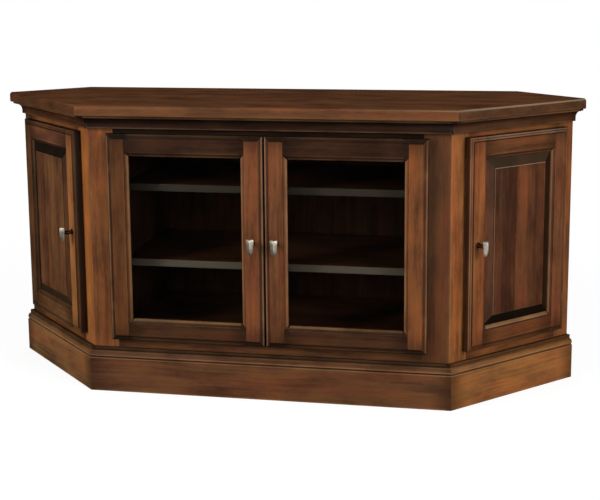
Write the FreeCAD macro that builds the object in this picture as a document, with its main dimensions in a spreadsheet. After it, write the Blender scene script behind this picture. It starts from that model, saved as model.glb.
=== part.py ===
import FreeCAD, Part
import Sketcher
import os
import re
from collections import namedtuple

# Corner television cabinet: a front with two glass doors, two slanted sides with one panelled door
# each, and two walls that run back square to the sides. Millimetres, Z up, front towards -Y.
# The origin is on the floor, in the middle of the cabinet's box.

# Driving sizes
SIZES = {
    # whole case
    "height": 762,
    "front_width": 933,
    "side_width": 427,
    "wall_width": 206.5,
    "frame_thick": 20,
    "panel_thick": 18,
    "back_thick": 12,
    "foot_height": 75,
    # top board
    "top_thick": 27,
    "top_overhang": 44,
    "top_round": 8,
    "top_ease": 3,
    # cove moulding under the top board
    "cove_height": 35,
    "cove_reach": 35,
    "cove_lip": 5.5,
    "cove_radius": 18.5,
    "cove_foot": 9.5,
    "cove_fillet": 9,
    # base moulding
    "base_height": 117,
    "base_thick": 20,
    "base_arris": 2,
    "cap_height": 26,
    "cap_ledge": 11,
    "cap_fillet": 10,
    "cap_step": 1.5,
    "cap_ovolo": 8.5,
    "cap_reach": 19,
    "cap_band": 3.5,
    "cap_quirk": 2,
    # doors
    "front_reveal": 53.5,
    "near_reveal": 45,
    "far_reveal": 38,
    "base_reveal": 25,
    "cove_reveal": 12,
    "meeting_gap": 3,
    "door_overlay": 13,
    "door_gap": 2,
    "door_thick": 20,
    "door_stile": 58,
    "door_rail": 58,
    "edge_width": 12,
    "edge_flat": 7,
    "edge_round": 3,
    "edge_level": 17,
    "edge_hollow": 4,
    "stick_width": 10,
    "stick_step": 1.5,
    "stick_lip": 2.5,
    # glass and its beads
    "rabbet_width": 8,
    "rabbet_depth": 9,
    "glass_thick": 4,
    "glass_clear": 1,
    "bead_width": 7,
    # raised panel
    "groove_low": 4,
    "groove_wide": 6,
    "groove_deep": 9,
    "panel_clear": 1,
    "panel_bevel": 25,
    "panel_step": 1.5,
    "panel_drop": 1,
    # shelves and their pins
    "low_bay": 169,
    "middle_bay": 184,
    "shelf_thick": 19,
    "shelf_setback": 60,
    "shelf_clear": 1.5,
    "pin_radius": 2.5,
    "pin_depth": 10,
    "pin_stand": 8,
    "pin_inset": 40,
    "hole_fit": 0.05,
    # cable holes in the back, aside from the middle so that the meeting stiles hide them
    "cable_radius": 30,
    "cable_aside": 98,
    # concealed hinges
    "hinge_inset": 90,
    "hinge_set": 8,
    "hinge_deep": 8,
    "hinge_relief": 3,
    "cup_radius": 17.5,
    "cup_depth": 12,
    "cup_tab": 3.5,
    "cup_floor": 0.8,
    "flange_start": 9.5,
    "flange_wide": 23,
    "flange_tall": 46,
    "flange_thick": 1,
    "knuckle_radius": 2.75,
    "pivot_radius": 1.25,
    "pivot_bury": 2,
    "arm_width": 10,
    "arm_play": 0.2,
    "slot_play": 0.8,
    "strap_thick": 2,
    "plate_thick": 5.5,
    "plate_deep": 16,
    "plate_tall": 32,
    "plate_setback": 2,
    "screw_spread": 22,
    "screw_radius": 1.9,
    "screw_bury": 14,
    "screw_head": 3.5,
    "screw_head_thick": 2,
    # knobs
    "knob_reach": 36,
    "knob_rise": 16,
    "knob_drop": 24,
    "knob_wide": 20,
    "knob_narrow": 13,
    "knob_thick": 10,
    "knob_edge": 2.5,
    "knob_end_wide": 15,
    "knob_end_narrow": 9.5,
    "knob_end_thick": 5,
    "knob_shoulder": 8,
    "knob_waist": 16,
    "post_radius": 4.5,
    "stud_radius": 2,
    "stud_length": 14,
}

X_AXIS = FreeCAD.Vector(1, 0, 0)
Y_AXIS = FreeCAD.Vector(0, 1, 0)
Z_AXIS = FreeCAD.Vector(0, 0, 1)

doc = FreeCAD.newDocument("corner_cabinet")
sheet = doc.addObject("Spreadsheet::Sheet", "Sizes")
for row, (size_name, size) in enumerate(SIZES.items(), 1):
    sheet.set(f"A{row}", size_name)
    sheet.set(f"B{row}", str(size))
    sheet.setAlias(f"B{row}", size_name)
doc.recompute()

# Places worked out from the driving sizes
MITRE = "tan(22.5 deg)"
SLANT = "sqrt(0.5)"
HALF_FRONT = "front_width / 2"
DEPTH = f"((side_width + wall_width) * {SLANT})"
FRONT_Y = f"(max(top_overhang; door_gap + door_thick + knob_reach) - {DEPTH}) / 2"
TOP_UNDER = "(height - top_thick)"
COVE_Z = f"({TOP_UNDER} - cove_height)"
CAP_Z = "(base_height - cap_height)"
DOOR_LOW = "(base_height + base_reveal)"
DOOR_HIGH = f"({COVE_Z} - cove_reveal)"
DOOR_TALL = f"({DOOR_HIGH} - {DOOR_LOW})"
SILL = f"({DOOR_LOW} + door_overlay)"
HEAD = f"({DOOR_HIGH} - door_overlay)"
OPEN_HALF = f"({HALF_FRONT} - front_reveal - door_overlay)"
NEAR_OPEN = "(near_reveal + door_overlay)"
FAR_OPEN = "(side_width - far_reveal - door_overlay)"
BACK_FACE = f"({DEPTH} - back_thick)"
LOW_SHELF = f"({SILL} + low_bay)"
HIGH_SHELF = f"({LOW_SHELF} + shelf_thick + middle_bay)"
FRONT_DOOR_WIDE = f"({HALF_FRONT} - front_reveal - meeting_gap / 2)"
SIDE_DOOR_WIDE = "(side_width - near_reveal - far_reveal)"
EDGE_RIM = "(edge_level - edge_round)"
GROOVE_HIGH = "(groove_low + groove_wide)"
CUP_CENTRE = "(cup_tab + cup_radius)"
ARM_BACK = "(door_overlay + plate_thick)"
PLATE_MIDDLE = "(door_gap + plate_setback + plate_deep / 2)"
HINGE_HEIGHTS = ("hinge_inset", f"{DOOR_TALL} - hinge_inset")
OVERRUN = "1"

# A face's own frame: x to the right as seen from outside, y into the cabinet, z up from the floor
Face = namedtuple("Face", "name turn corner hand")
FRONT = Face("front", 0, "0", 1)
LEFT = Face("left", -45, f"-{HALF_FRONT}", -1)
RIGHT = Face("right", 45, HALF_FRONT, 1)
SIDES = (LEFT, RIGHT)

nodes = []


# Sizes in formulas

def formula(text):
    """The text with each size's name written as its cell of the sheet."""
    return re.sub(r"[a-z]\w*", lambda word: f"Sizes.{word[0]}" if word[0] in SIZES else word[0], text)


def value(text):
    return float(sheet.evalExpression(formula(text)))


def bind(item, name, text):
    item.setExpression(name, formula(text))


def keep(piece):
    nodes.append(piece)
    return piece


def place(piece, face, x="0", y="0", z="0", own=FreeCAD.Rotation()):
    """Put a piece at a point of a face's frame."""
    piece.Placement = FreeCAD.Placement(FreeCAD.Vector(), FreeCAD.Rotation(Z_AXIS, face.turn) * own)
    cos = f"cos({face.turn} deg)"
    sin = f"sin({face.turn} deg)"
    bind(piece, "Placement.Base.x", f"{face.corner} + {cos} * ({x}) - {sin} * ({y})")
    bind(piece, "Placement.Base.y", f"{FRONT_Y} + {sin} * ({x}) + {cos} * ({y})")
    bind(piece, "Placement.Base.z", z)


def swell(run, drop):
    """Radius of an arc that starts along its run and has fallen by its drop at the end of it."""
    return f"(({run})^2 + ({drop})^2) / (2 * ({drop}))"


def mirrored(points, hand):
    return [(f"{hand} * ({point[0]})", *point[1:]) for point in points]


# Sketches and features

def new_body(label):
    return doc.addObject("PartDesign::Body", label)


def new_sketch(body, plane, offset="0"):
    sketch = body.newObject("Sketcher::SketchObject", f"{body.Name}_sketch")
    support = next(item for item in body.Origin.OriginFeatures if item.Role == plane)
    sketch.AttachmentSupport = (support, [""])
    sketch.MapMode = "FlatFace"
    bind(sketch, "AttachmentOffset.Base.z", offset)
    return sketch


def fix_point(sketch, line, end, x, y):
    across = sketch.addConstraint(Sketcher.Constraint("DistanceX", -1, 1, line, end, value(x)))
    bind(sketch, f"Constraints[{across}]", x)
    upward = sketch.addConstraint(Sketcher.Constraint("DistanceY", -1, 1, line, end, value(y)))
    bind(sketch, f"Constraints[{upward}]", y)


def add_arc(sketch, start, end, radius, bulge_right):
    """An arc of under half a turn; gives its number and which of its ends is the start."""
    along = end - start
    half = along.Length / 2
    sideways = FreeCAD.Vector(along.y, -along.x, 0).normalize()
    reach = (radius**2 - half**2) ** 0.5
    centre = (start + end) * 0.5 + sideways * (-reach if bulge_right else reach)
    circle = Part.Circle(centre, Z_AXIS, radius)
    first, last = (start, end) if bulge_right else (end, start)
    arc = Part.ArcOfCircle(circle, circle.parameter(first), circle.parameter(last))
    return sketch.addGeometry(arc), (1 if bulge_right else 2)


def outline(sketch, points):
    """A closed outline through points (x, y), where (x, y, bend, radius) starts an arc.

    A round arc swells out of the outline and a hollow one is scooped into it.
    """
    spots = [FreeCAD.Vector(value(point[0]), value(point[1]), 0) for point in points]
    after = spots[1:] + spots[:1]
    area = sum(a.x * b.y - b.x * a.y for a, b in zip(spots, after))
    steps = []
    for point, start, end in zip(points, spots, after):
        if len(point) == 2:
            steps.append((sketch.addGeometry(Part.LineSegment(start, end)), 1))
            continue
        bulge_right = (point[2] == "round") == (area > 0)
        step = add_arc(sketch, start, end, value(point[3]), bulge_right)
        bend = sketch.addConstraint(Sketcher.Constraint("Radius", step[0], value(point[3])))
        bind(sketch, f"Constraints[{bend}]", point[3])
        steps.append(step)
    for (line, start), (next_line, next_start) in zip(steps, steps[1:] + steps[:1]):
        sketch.addConstraint(Sketcher.Constraint("Coincident", line, 3 - start, next_line, next_start))
    for (line, start), point in zip(steps, points):
        fix_point(sketch, line, start, point[0], point[1])


def ring(sketch, x, y, radius):
    spot = FreeCAD.Vector(value(x), value(y), 0)
    circle = sketch.addGeometry(Part.Circle(spot, Z_AXIS, value(radius)))
    bend = sketch.addConstraint(Sketcher.Constraint("Radius", circle, value(radius)))
    bind(sketch, f"Constraints[{bend}]", radius)
    fix_point(sketch, circle, 3, x, y)


def pad(body, sketch, length, both_ways=False, reverse=False):
    feature = body.newObject("PartDesign::Pad", f"{body.Name}_pad")
    feature.Profile = sketch
    feature.SideType = "Symmetric" if both_ways else "One side"
    feature.Reversed = reverse
    bind(feature, "Length", length)
    return feature


def pocket(body, sketch, depth=None, both_ways=False, reverse=False):
    """Cut the sketch into the body, right through where no depth is given."""
    doc.recompute()
    volume = body.Shape.Volume
    feature = body.newObject("PartDesign::Pocket", f"{body.Name}_pocket")
    feature.Profile = sketch
    feature.SideType = "Symmetric" if both_ways else "One side"
    feature.Reversed = reverse
    if depth is None:
        feature.Type = "ThroughAll"
    else:
        bind(feature, "Length", depth)
    doc.recompute()
    if not body.Shape.Volume < volume:
        raise RuntimeError(f"{feature.Name} cuts nothing")


# Kinds of piece

def board(label, face, x, y, z):
    """A square-edged board between two values of x, y and z on a face."""
    piece = keep(doc.addObject("Part::Box", label))
    low, high = x if face.hand > 0 else (f"-({x[1]})", f"-({x[0]})")
    bind(piece, "Length", f"{high} - ({low})")
    bind(piece, "Width", f"{y[1]} - ({y[0]})")
    bind(piece, "Height", f"{z[1]} - ({z[0]})")
    place(piece, face, low, y[0], z[0])
    return piece


def plank(label, face, points, low, high):
    """A board with an outline in plan, from one height to another."""
    body = keep(new_body(label))
    sketch = new_sketch(body, "XY_Plane", low)
    outline(sketch, points)
    pad(body, sketch, f"{high} - ({low})")
    place(body, face)
    return body


def side_holes(body, hand, x, places, radius, depth):
    """Round holes drilled sideways into a piece from the plane x, at (y, z) places."""
    sketch = new_sketch(body, "YZ_Plane", f"{hand} * ({x})")
    for y, z in places:
        ring(sketch, y, z, radius)
    pocket(body, sketch, depth, reverse=hand > 0)


def hinge_screw_heights():
    return [f"{DOOR_LOW} + {height} {sign} screw_spread / 2" for height in HINGE_HEIGHTS for sign in "+-"]


def drill_for_hinges(body, hand, edge):
    spots = [(f"({PLATE_MIDDLE} - door_gap)", height) for height in hinge_screw_heights()]
    side_holes(body, hand, edge, spots, "screw_radius + hole_fit", "screw_bury")


def moulding(label, face, profile, reach):
    """A moulding along a face, mitred where it meets the next one and square at the wall."""
    body = keep(new_body(label))
    runout = f"({reach}) * {MITRE}"
    if face is FRONT:
        start, length = f"-({HALF_FRONT} + {runout})", f"front_width + 2 * {runout}"
        corners = [(HALF_FRONT, 1), (f"-{HALF_FRONT}", -1)]
    else:
        start = f"-{runout}" if face is RIGHT else "-side_width"
        length = f"side_width + {runout}"
        corners = [("0", -face.hand)]
    sketch = new_sketch(body, "YZ_Plane", start)
    outline(sketch, [(f"-({point[0]})", *point[1:]) for point in profile])
    pad(body, sketch, length)
    past = f"({reach} + {OVERRUN})"
    waste = new_sketch(body, "XY_Plane")
    for corner, way in corners:
        tip = f"{corner} + {way} * {past} * {MITRE}"
        outline(waste, [(corner, "0"), (tip, f"-{past}"), (tip, "0")])
    pocket(body, waste, reverse=True)
    place(body, face)


def copies(label, pattern, spots):
    """A group of like pieces at several placements."""
    doc.recompute()
    shape = pattern.Shape
    piece = keep(doc.addObject("Part::Feature", label))
    piece.Shape = Part.makeCompound([shape.transformed(spot.Matrix, True) for spot in spots])


# Top board, mouldings and base

def make_top():
    side_x = f"{HALF_FRONT} + (side_width + top_overhang) * {SLANT}"
    side_y = f"(side_width - top_overhang) * {SLANT}"
    back_x = f"{HALF_FRONT} + side_width / {SLANT} - {DEPTH}"
    front = (f"{HALF_FRONT} + top_overhang * {MITRE}", "-top_overhang")
    right = [front, (side_x, side_y), (back_x, DEPTH)]
    body = plank("top_board", FRONT, right + mirrored(right[::-1], -1), TOP_UNDER, "height")
    doc.recompute()
    for edge_height, radius in (("height", "top_round"), (TOP_UNDER, "top_ease")):
        base = body.Tip
        shape = base.Shape
        level = value(edge_height)
        names = []
        for number, edge in enumerate(shape.Edges, 1):
            middle = edge.BoundBox.Center
            if abs(middle.z - level) < value("top_ease") / 2 and middle.y < value(side_y):
                names.append(f"Edge{number}")
        fillet = body.newObject("PartDesign::Fillet", f"top_{radius}")
        fillet.Base = (base, names)
        bind(fillet, "Radius", radius)
        doc.recompute()


def make_mouldings():
    hollow_top = f"{COVE_Z} + cove_fillet + cove_radius"
    ledge = f"{TOP_UNDER} - cove_lip"
    cove = [
        ("0", COVE_Z),
        ("cove_foot", COVE_Z),
        ("cove_foot", f"{COVE_Z} + cove_fillet", "hollow", "cove_radius"),
        ("cove_foot + cove_radius", hollow_top),
        ("cove_foot + cove_radius", ledge),
        ("cove_reach", ledge),
        ("cove_reach", TOP_UNDER),
        ("0", TOP_UNDER),
    ]
    fillet_low = "base_height - cap_fillet"
    ovolo_low = f"{fillet_low} - cap_ovolo"
    band_low = f"{ovolo_low} - cap_band"
    base = [
        ("0", "0"),
        ("base_thick", "0"),
        ("base_thick", f"{CAP_Z} - base_arris", "round", "base_arris"),
        ("base_thick - base_arris", CAP_Z),
        ("cap_reach - cap_quirk", CAP_Z),
        ("cap_reach - cap_quirk", band_low),
        ("cap_reach", band_low),
        ("cap_reach", ovolo_low, "round", swell("cap_ovolo", "cap_reach - cap_ledge - cap_step")),
        ("cap_ledge + cap_step", fillet_low),
        ("cap_ledge", fillet_low),
        ("cap_ledge", "base_height"),
        ("0", "base_height"),
    ]
    for face in (FRONT, *SIDES):
        moulding(f"cove_{face.name}", face, cove, "cove_reach")
        moulding(f"base_{face.name}", face, base, "max(base_thick; cap_reach)")


# Face frames

def make_front_frame():
    mitre_x = f"{HALF_FRONT} - frame_thick * {MITRE}"
    plan = [(OPEN_HALF, "0"), (HALF_FRONT, "0"), (mitre_x, "frame_thick"), (OPEN_HALF, "frame_thick")]
    for name, hand in (("left", -1), ("right", 1)):
        stile = plank(f"front_stile_{name}", FRONT, mirrored(plan, hand), "0", TOP_UNDER)
        drill_for_hinges(stile, hand, OPEN_HALF)
    width = (f"-{OPEN_HALF}", OPEN_HALF)
    board("front_rail_top", FRONT, width, ("0", "frame_thick"), (HEAD, TOP_UNDER))
    board("front_rail_bottom", FRONT, width, ("0", "frame_thick"), ("foot_height", SILL))


def make_side_frame(face):
    mitre_x = f"frame_thick * {MITRE}"
    near = [("0", "0"), (NEAR_OPEN, "0"), (NEAR_OPEN, "frame_thick"), (mitre_x, "frame_thick")]
    plank(f"{face.name}_near_stile", face, mirrored(near, face.hand), "0", TOP_UNDER)
    far = [(FAR_OPEN, "0"), ("side_width", "0"), ("side_width", "frame_thick"), (FAR_OPEN, "frame_thick")]
    stile = plank(f"{face.name}_far_stile", face, mirrored(far, face.hand), "0", TOP_UNDER)
    drill_for_hinges(stile, face.hand, FAR_OPEN)
    width = (NEAR_OPEN, FAR_OPEN)
    board(f"{face.name}_rail_top", face, width, ("0", "frame_thick"), (HEAD, TOP_UNDER))
    board(f"{face.name}_rail_bottom", face, width, ("0", "frame_thick"), ("foot_height", SILL))


# Walls, back, floor, partitions and shelves

def make_walls():
    inner = "(side_width - panel_thick)"
    reach = f"{BACK_FACE} / {SLANT}"
    plan = [(inner, "frame_thick"), ("side_width", "frame_thick"), ("side_width", f"{reach} - side_width"),
            (inner, f"{reach} - {inner}")]
    for face in SIDES:
        plank(f"wall_panel_{face.name}", face, mirrored(plan, face.hand), "0", TOP_UNDER)
    wall_line = f"{HALF_FRONT} + side_width / {SLANT}"
    right = [(f"{wall_line} - {BACK_FACE}", BACK_FACE), (f"{wall_line} - {DEPTH}", DEPTH)]
    back = plank("back_panel", FRONT, right + mirrored(right[::-1], -1), "0", TOP_UNDER)
    holes = new_sketch(back, "XZ_Plane")
    bays = (
        (SILL, LOW_SHELF),
        (f"{LOW_SHELF} + shelf_thick", HIGH_SHELF),
        (f"{HIGH_SHELF} + shelf_thick", TOP_UNDER),
    )
    for low, high in bays:
        ring(holes, "-cable_aside", f"({low} + {high}) / 2", "cable_radius")
    pocket(back, holes)


def make_floor():
    inner = "(side_width - panel_thick)"
    front = (f"{HALF_FRONT} - frame_thick * {MITRE}", "frame_thick")
    side = (f"{HALF_FRONT} + ({inner} - frame_thick) * {SLANT}", f"({inner} + frame_thick) * {SLANT}")
    back = (f"{HALF_FRONT} + {inner} / {SLANT} - {BACK_FACE}", BACK_FACE)
    right = [front, side, back]
    plank("floor_panel", FRONT, right + mirrored(right[::-1], -1), f"{SILL} - panel_thick", SILL)


def make_shelves():
    pin_rows = ("shelf_setback + pin_inset", f"{BACK_FACE} - pin_inset")
    spots = [(y, f"{shelf} - pin_radius") for shelf in (LOW_SHELF, HIGH_SHELF) for y in pin_rows]
    outer = f"{OPEN_HALF} + panel_thick"
    plan = [(OPEN_HALF, "frame_thick"), (outer, "frame_thick"), (outer, BACK_FACE), (OPEN_HALF, BACK_FACE)]
    pins = []
    for name, hand in (("left", -1), ("right", 1)):
        outward = FreeCAD.Rotation(Y_AXIS, hand * 90)
        partition = plank(f"partition_{name}", FRONT, mirrored(plan, hand), SILL, TOP_UNDER)
        side_holes(partition, hand, OPEN_HALF, spots, "pin_radius + hole_fit", "pin_depth")
        for y, z in spots:
            pin = doc.addObject("Part::Cylinder", f"pin_{name}")
            bind(pin, "Radius", "pin_radius")
            bind(pin, "Height", "pin_depth + pin_stand")
            place(pin, FRONT, f"{hand} * ({OPEN_HALF} - pin_stand)", y, z, outward)
            pins.append(pin)
    group = keep(doc.addObject("Part::Compound", "shelf_pins"))
    group.Links = pins
    width = (f"-{OPEN_HALF} + shelf_clear", f"{OPEN_HALF} - shelf_clear")
    depth = ("shelf_setback", f"{BACK_FACE} - shelf_clear")
    board("shelf_lower", FRONT, width, depth, (LOW_SHELF, f"{LOW_SHELF} + shelf_thick"))
    board("shelf_upper", FRONT, width, depth, (HIGH_SHELF, f"{HIGH_SHELF} + shelf_thick"))


# Concealed hinges, in a door's own frame: x from the hinge edge across the door, y out from its back
# face, z up from the hinge's middle

def make_hinge_cup():
    cup = new_body("hinge_cup_pattern")
    disc = new_sketch(cup, "XZ_Plane")
    ring(disc, CUP_CENTRE, "0", "cup_radius")
    pad(cup, disc, "cup_depth", reverse=True)
    flange = new_sketch(cup, "XZ_Plane")
    start = "flange_start"
    end = "flange_start + flange_wide"
    half = "flange_tall / 2"
    outline(flange, [(start, f"-{half}"), (end, f"-{half}"), (end, half), (start, half)])
    pad(cup, flange, "flange_thick")
    slot = new_sketch(cup, "XY_Plane")
    near = "hinge_set - knuckle_radius - slot_play"
    far = f"{ARM_BACK} + strap_thick + slot_play"
    deep = "cup_depth - cup_floor"
    shallow = f"-flange_thick - {OVERRUN}"
    outline(slot, [(near, shallow), (far, shallow), (far, deep), (near, deep)])
    pocket(cup, slot, "arm_width + 2 * arm_play", both_ways=True)
    pivot = new_sketch(cup, "XY_Plane")
    ring(pivot, "hinge_set", "hinge_deep", "pivot_radius")
    pad(cup, pivot, "arm_width + 2 * arm_play + 2 * pivot_bury", both_ways=True)
    return cup


def make_hinge_arm():
    arm = new_body("hinge_arm_pattern")
    half = "strap_thick / 2"
    front = f"{ARM_BACK} + strap_thick"
    end = "-(door_gap + plate_setback + plate_deep)"
    strap = new_sketch(arm, "XY_Plane")
    outline(strap, [
        ("hinge_set", f"hinge_deep + {half}"), (front, f"hinge_deep + {half}"), (front, end),
        (ARM_BACK, end), (ARM_BACK, f"hinge_deep - {half}"), ("hinge_set", f"hinge_deep - {half}"),
    ])
    pad(arm, strap, "arm_width", both_ways=True)
    knuckle = new_sketch(arm, "XY_Plane")
    ring(knuckle, "hinge_set", "hinge_deep", "knuckle_radius")
    pad(arm, knuckle, "arm_width", both_ways=True)
    plate = new_sketch(arm, "XY_Plane")
    start = "-(door_gap + plate_setback)"
    outline(plate, [("door_overlay", start), (ARM_BACK, start), (ARM_BACK, end), ("door_overlay", end)])
    pad(arm, plate, "plate_tall", both_ways=True)
    bore = new_sketch(arm, "XY_Plane")
    ring(bore, "hinge_set", "hinge_deep", "pivot_radius + hole_fit")
    pocket(arm, bore, "2 * arm_width", both_ways=True)
    holes = new_sketch(arm, "YZ_Plane")
    for sign in "+-":
        ring(holes, f"-{PLATE_MIDDLE}", f"{sign}screw_spread / 2", "screw_radius + hole_fit")
    pocket(arm, holes, reverse=True)
    return arm


def make_hinge_screw():
    screw = new_body("hinge_screw_pattern")
    tip = "door_overlay - screw_bury"
    shank = new_sketch(screw, "YZ_Plane", tip)
    ring(shank, "0", "0", "screw_radius")
    pad(screw, shank, f"{ARM_BACK} - ({tip})")
    head = new_sketch(screw, "YZ_Plane", ARM_BACK)
    ring(head, "0", "0", "screw_head")
    pad(screw, head, "screw_head_thick")
    return screw


# Doors, in the same frame with z up from the door's end; a left door is the right one turned over

Door = namedtuple("Door", "name face hinge hand width glazed")
FRONT_HINGE = f"({HALF_FRONT} - front_reveal)"
SIDE_HINGE = "(side_width - far_reveal)"
DOORS = (
    Door("left_glass_door", FRONT, f"-{FRONT_HINGE}", -1, FRONT_DOOR_WIDE, True),
    Door("right_glass_door", FRONT, FRONT_HINGE, 1, FRONT_DOOR_WIDE, True),
    Door("left_side_door", LEFT, f"-{SIDE_HINGE}", -1, SIDE_DOOR_WIDE, False),
    Door("right_side_door", RIGHT, SIDE_HINGE, 1, SIDE_DOOR_WIDE, False),
)


def hang(piece, door, x="0", y="0", z="0"):
    """Put a piece in a door's frame."""
    own = FreeCAD.Rotation(Z_AXIS, 180) if door.hand > 0 else FreeCAD.Rotation(X_AXIS, 180)
    height = f"{DOOR_LOW} + ({z})" if door.hand > 0 else f"{DOOR_HIGH} - ({z})"
    place(piece, door.face, f"{door.hinge} - {door.hand} * ({x})", f"-door_gap - ({y})", height, own)


def inner_edge(door, width):
    """The stuck edge of a stile or rail towards the glass or panel, from the back face to the front."""
    if door.glazed:
        seat = f"{width} - rabbet_width"
        lip = "rabbet_depth"
        points = [(seat, "0"), (seat, lip), (width, lip)]
    else:
        lip = GROOVE_HIGH
        seat = f"{width} - groove_deep"
        points = [(width, "0"), (width, "groove_low"), (seat, "groove_low"), (seat, lip), (width, lip)]
    start = f"{lip} + stick_lip"
    end = "door_thick - stick_step"
    radius = swell("stick_width", f"{end} - ({start})")
    return points + [(width, start, "round", radius), (f"{width} - stick_width", end)]


def member_section(door, width, relief):
    """Section of a stile or rail: x across it from the door's rim, y out from the back face."""
    back = [("0", relief), (relief, "0")] if relief else [("0", "0")]
    front = [
        (f"{width} - stick_width", "door_thick"),
        ("edge_width", "door_thick", "hollow", "edge_hollow"),
        ("edge_flat", "edge_level"),
        ("edge_round", "edge_level", "round", "edge_round"),
        ("0", EDGE_RIM),
    ]
    return back + inner_edge(door, width) + front


def rim_waste():
    """What the moulded rim takes off: x in from the rim, y out from the back face."""
    past = f"door_thick + {OVERRUN}"
    return [
        (f"-{OVERRUN}", EDGE_RIM),
        ("0", EDGE_RIM, "hollow", "edge_round"),
        ("edge_round", "edge_level"),
        ("edge_flat", "edge_level", "round", "edge_hollow"),
        ("edge_width", "door_thick"),
        ("edge_width", past),
        (f"-{OVERRUN}", past),
    ]


def upright(points, top=None):
    """Points of a section turned to run up a door, or down from a height."""
    return [(point[1], f"{top} - ({point[0]})" if top else point[0], *point[2:]) for point in points]


def across(points, far):
    """Points of a section counted back from a far edge."""
    return [(f"{far} - ({point[0]})", *point[1:]) for point in points]


def make_stile(door, role):
    body = keep(new_body(f"{door.name}_{role}_stile"))
    section = member_section(door, "door_stile", "hinge_relief" if role == "hinge" else None)
    sketch = new_sketch(body, "XY_Plane")
    outline(sketch, section if role == "hinge" else across(section, door.width))
    pad(body, sketch, DOOR_TALL)
    waste = new_sketch(body, "YZ_Plane")
    outline(waste, upright(rim_waste()))
    outline(waste, upright(rim_waste(), DOOR_TALL))
    pocket(body, waste, reverse=True)
    holes = new_sketch(body, "XZ_Plane", "0" if role == "hinge" else "-door_thick")
    if role == "hinge":
        for height in HINGE_HEIGHTS:
            ring(holes, CUP_CENTRE, height, "cup_radius + hole_fit")
        pocket(body, holes, "cup_depth")
    else:
        ring(holes, f"{door.width} - door_stile / 2", f"{DOOR_TALL} / 2", "stud_radius + hole_fit")
        pocket(body, holes, "stud_length", reverse=True)
    hang(body, door)


def make_rail(door, role):
    """A rail with its ends coped over the stiles."""
    body = keep(new_body(f"{door.name}_{role}_rail"))
    shoulder = "door_stile - stick_width"
    at_start = (role == "bottom") == (door.hand > 0)
    sketch = new_sketch(body, "YZ_Plane", shoulder)
    outline(sketch, upright(member_section(door, "door_rail", None), None if at_start else DOOR_TALL))
    pad(body, sketch, f"{door.width} - 2 * ({shoulder})")
    edge = inner_edge(door, "door_stile")
    past = f"{shoulder} - {OVERRUN}"
    cope = [(past, f"-{OVERRUN}"), (edge[0][0], f"-{OVERRUN}"), *edge, (past, edge[-1][1])]
    waste = new_sketch(body, "XY_Plane")
    outline(waste, cope)
    outline(waste, across(cope, door.width))
    pocket(body, waste, reverse=True)
    hang(body, door)


def make_glass(door):
    edge = "(door_stile - rabbet_width + glass_clear)"
    low = "(door_rail - rabbet_width + glass_clear)"
    back = "(rabbet_depth - glass_thick)"
    pane = keep(doc.addObject("Part::Box", f"{door.name}_glass"))
    bind(pane, "Length", f"{door.width} - 2 * {edge}")
    bind(pane, "Width", "glass_thick")
    bind(pane, "Height", f"{DOOR_TALL} - 2 * {low}")
    hang(pane, door, edge, back, low)
    seat_x = "(door_stile - rabbet_width)"
    seat_z = "(door_rail - rabbet_width)"
    far_x = f"{door.width} - {seat_x} - bead_width"
    far_z = f"{DOOR_TALL} - {seat_z} - bead_width"
    tall = f"{DOOR_TALL} - 2 * {seat_z}"
    between = f"{seat_x} + bead_width"
    wide = f"{door.width} - 2 * ({between})"
    strips = [
        (seat_x, seat_z, "bead_width", tall),
        (far_x, seat_z, "bead_width", tall),
        (between, seat_z, wide, "bead_width"),
        (between, far_z, wide, "bead_width"),
    ]
    beads = []
    for x, z, length, height in strips:
        strip = doc.addObject("Part::Box", f"{door.name}_bead")
        bind(strip, "Length", length)
        bind(strip, "Width", back)
        bind(strip, "Height", height)
        hang(strip, door, x, "0", z)
        beads.append(strip)
    group = keep(doc.addObject("Part::Compound", f"{door.name}_glass_beads"))
    group.Links = beads


def make_panel(door):
    body = keep(new_body(f"{door.name}_raised_panel"))
    tongue = "(groove_deep - panel_clear)"
    face = "(door_thick - panel_drop)"
    bevel_top = f"{face} - panel_step"
    left = [
        (f"door_stile - {tongue}", "groove_low"),
        (f"door_stile - {tongue}", GROOVE_HIGH),
        ("door_stile", GROOVE_HIGH),
        ("door_stile + panel_bevel", bevel_top),
        ("door_stile + panel_bevel", face),
    ]
    sketch = new_sketch(body, "XY_Plane", f"door_rail - {tongue}")
    outline(sketch, left + across(left[::-1], door.width))
    pad(body, sketch, f"{DOOR_TALL} - 2 * (door_rail - {tongue})")
    start = f"door_rail - groove_deep - {OVERRUN}"
    past = f"{face} + {OVERRUN}"
    bevel = [
        (start, GROOVE_HIGH),
        ("door_rail", GROOVE_HIGH),
        ("door_rail + panel_bevel", bevel_top),
        ("door_rail + panel_bevel", past),
        (start, past),
    ]
    waste = new_sketch(body, "YZ_Plane")
    outline(waste, upright(bevel))
    outline(waste, upright(bevel, DOOR_TALL))
    pocket(body, waste, reverse=True)
    hang(body, door)


# Knobs, in a frame with y into the door from its front face and z up from the post

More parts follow.
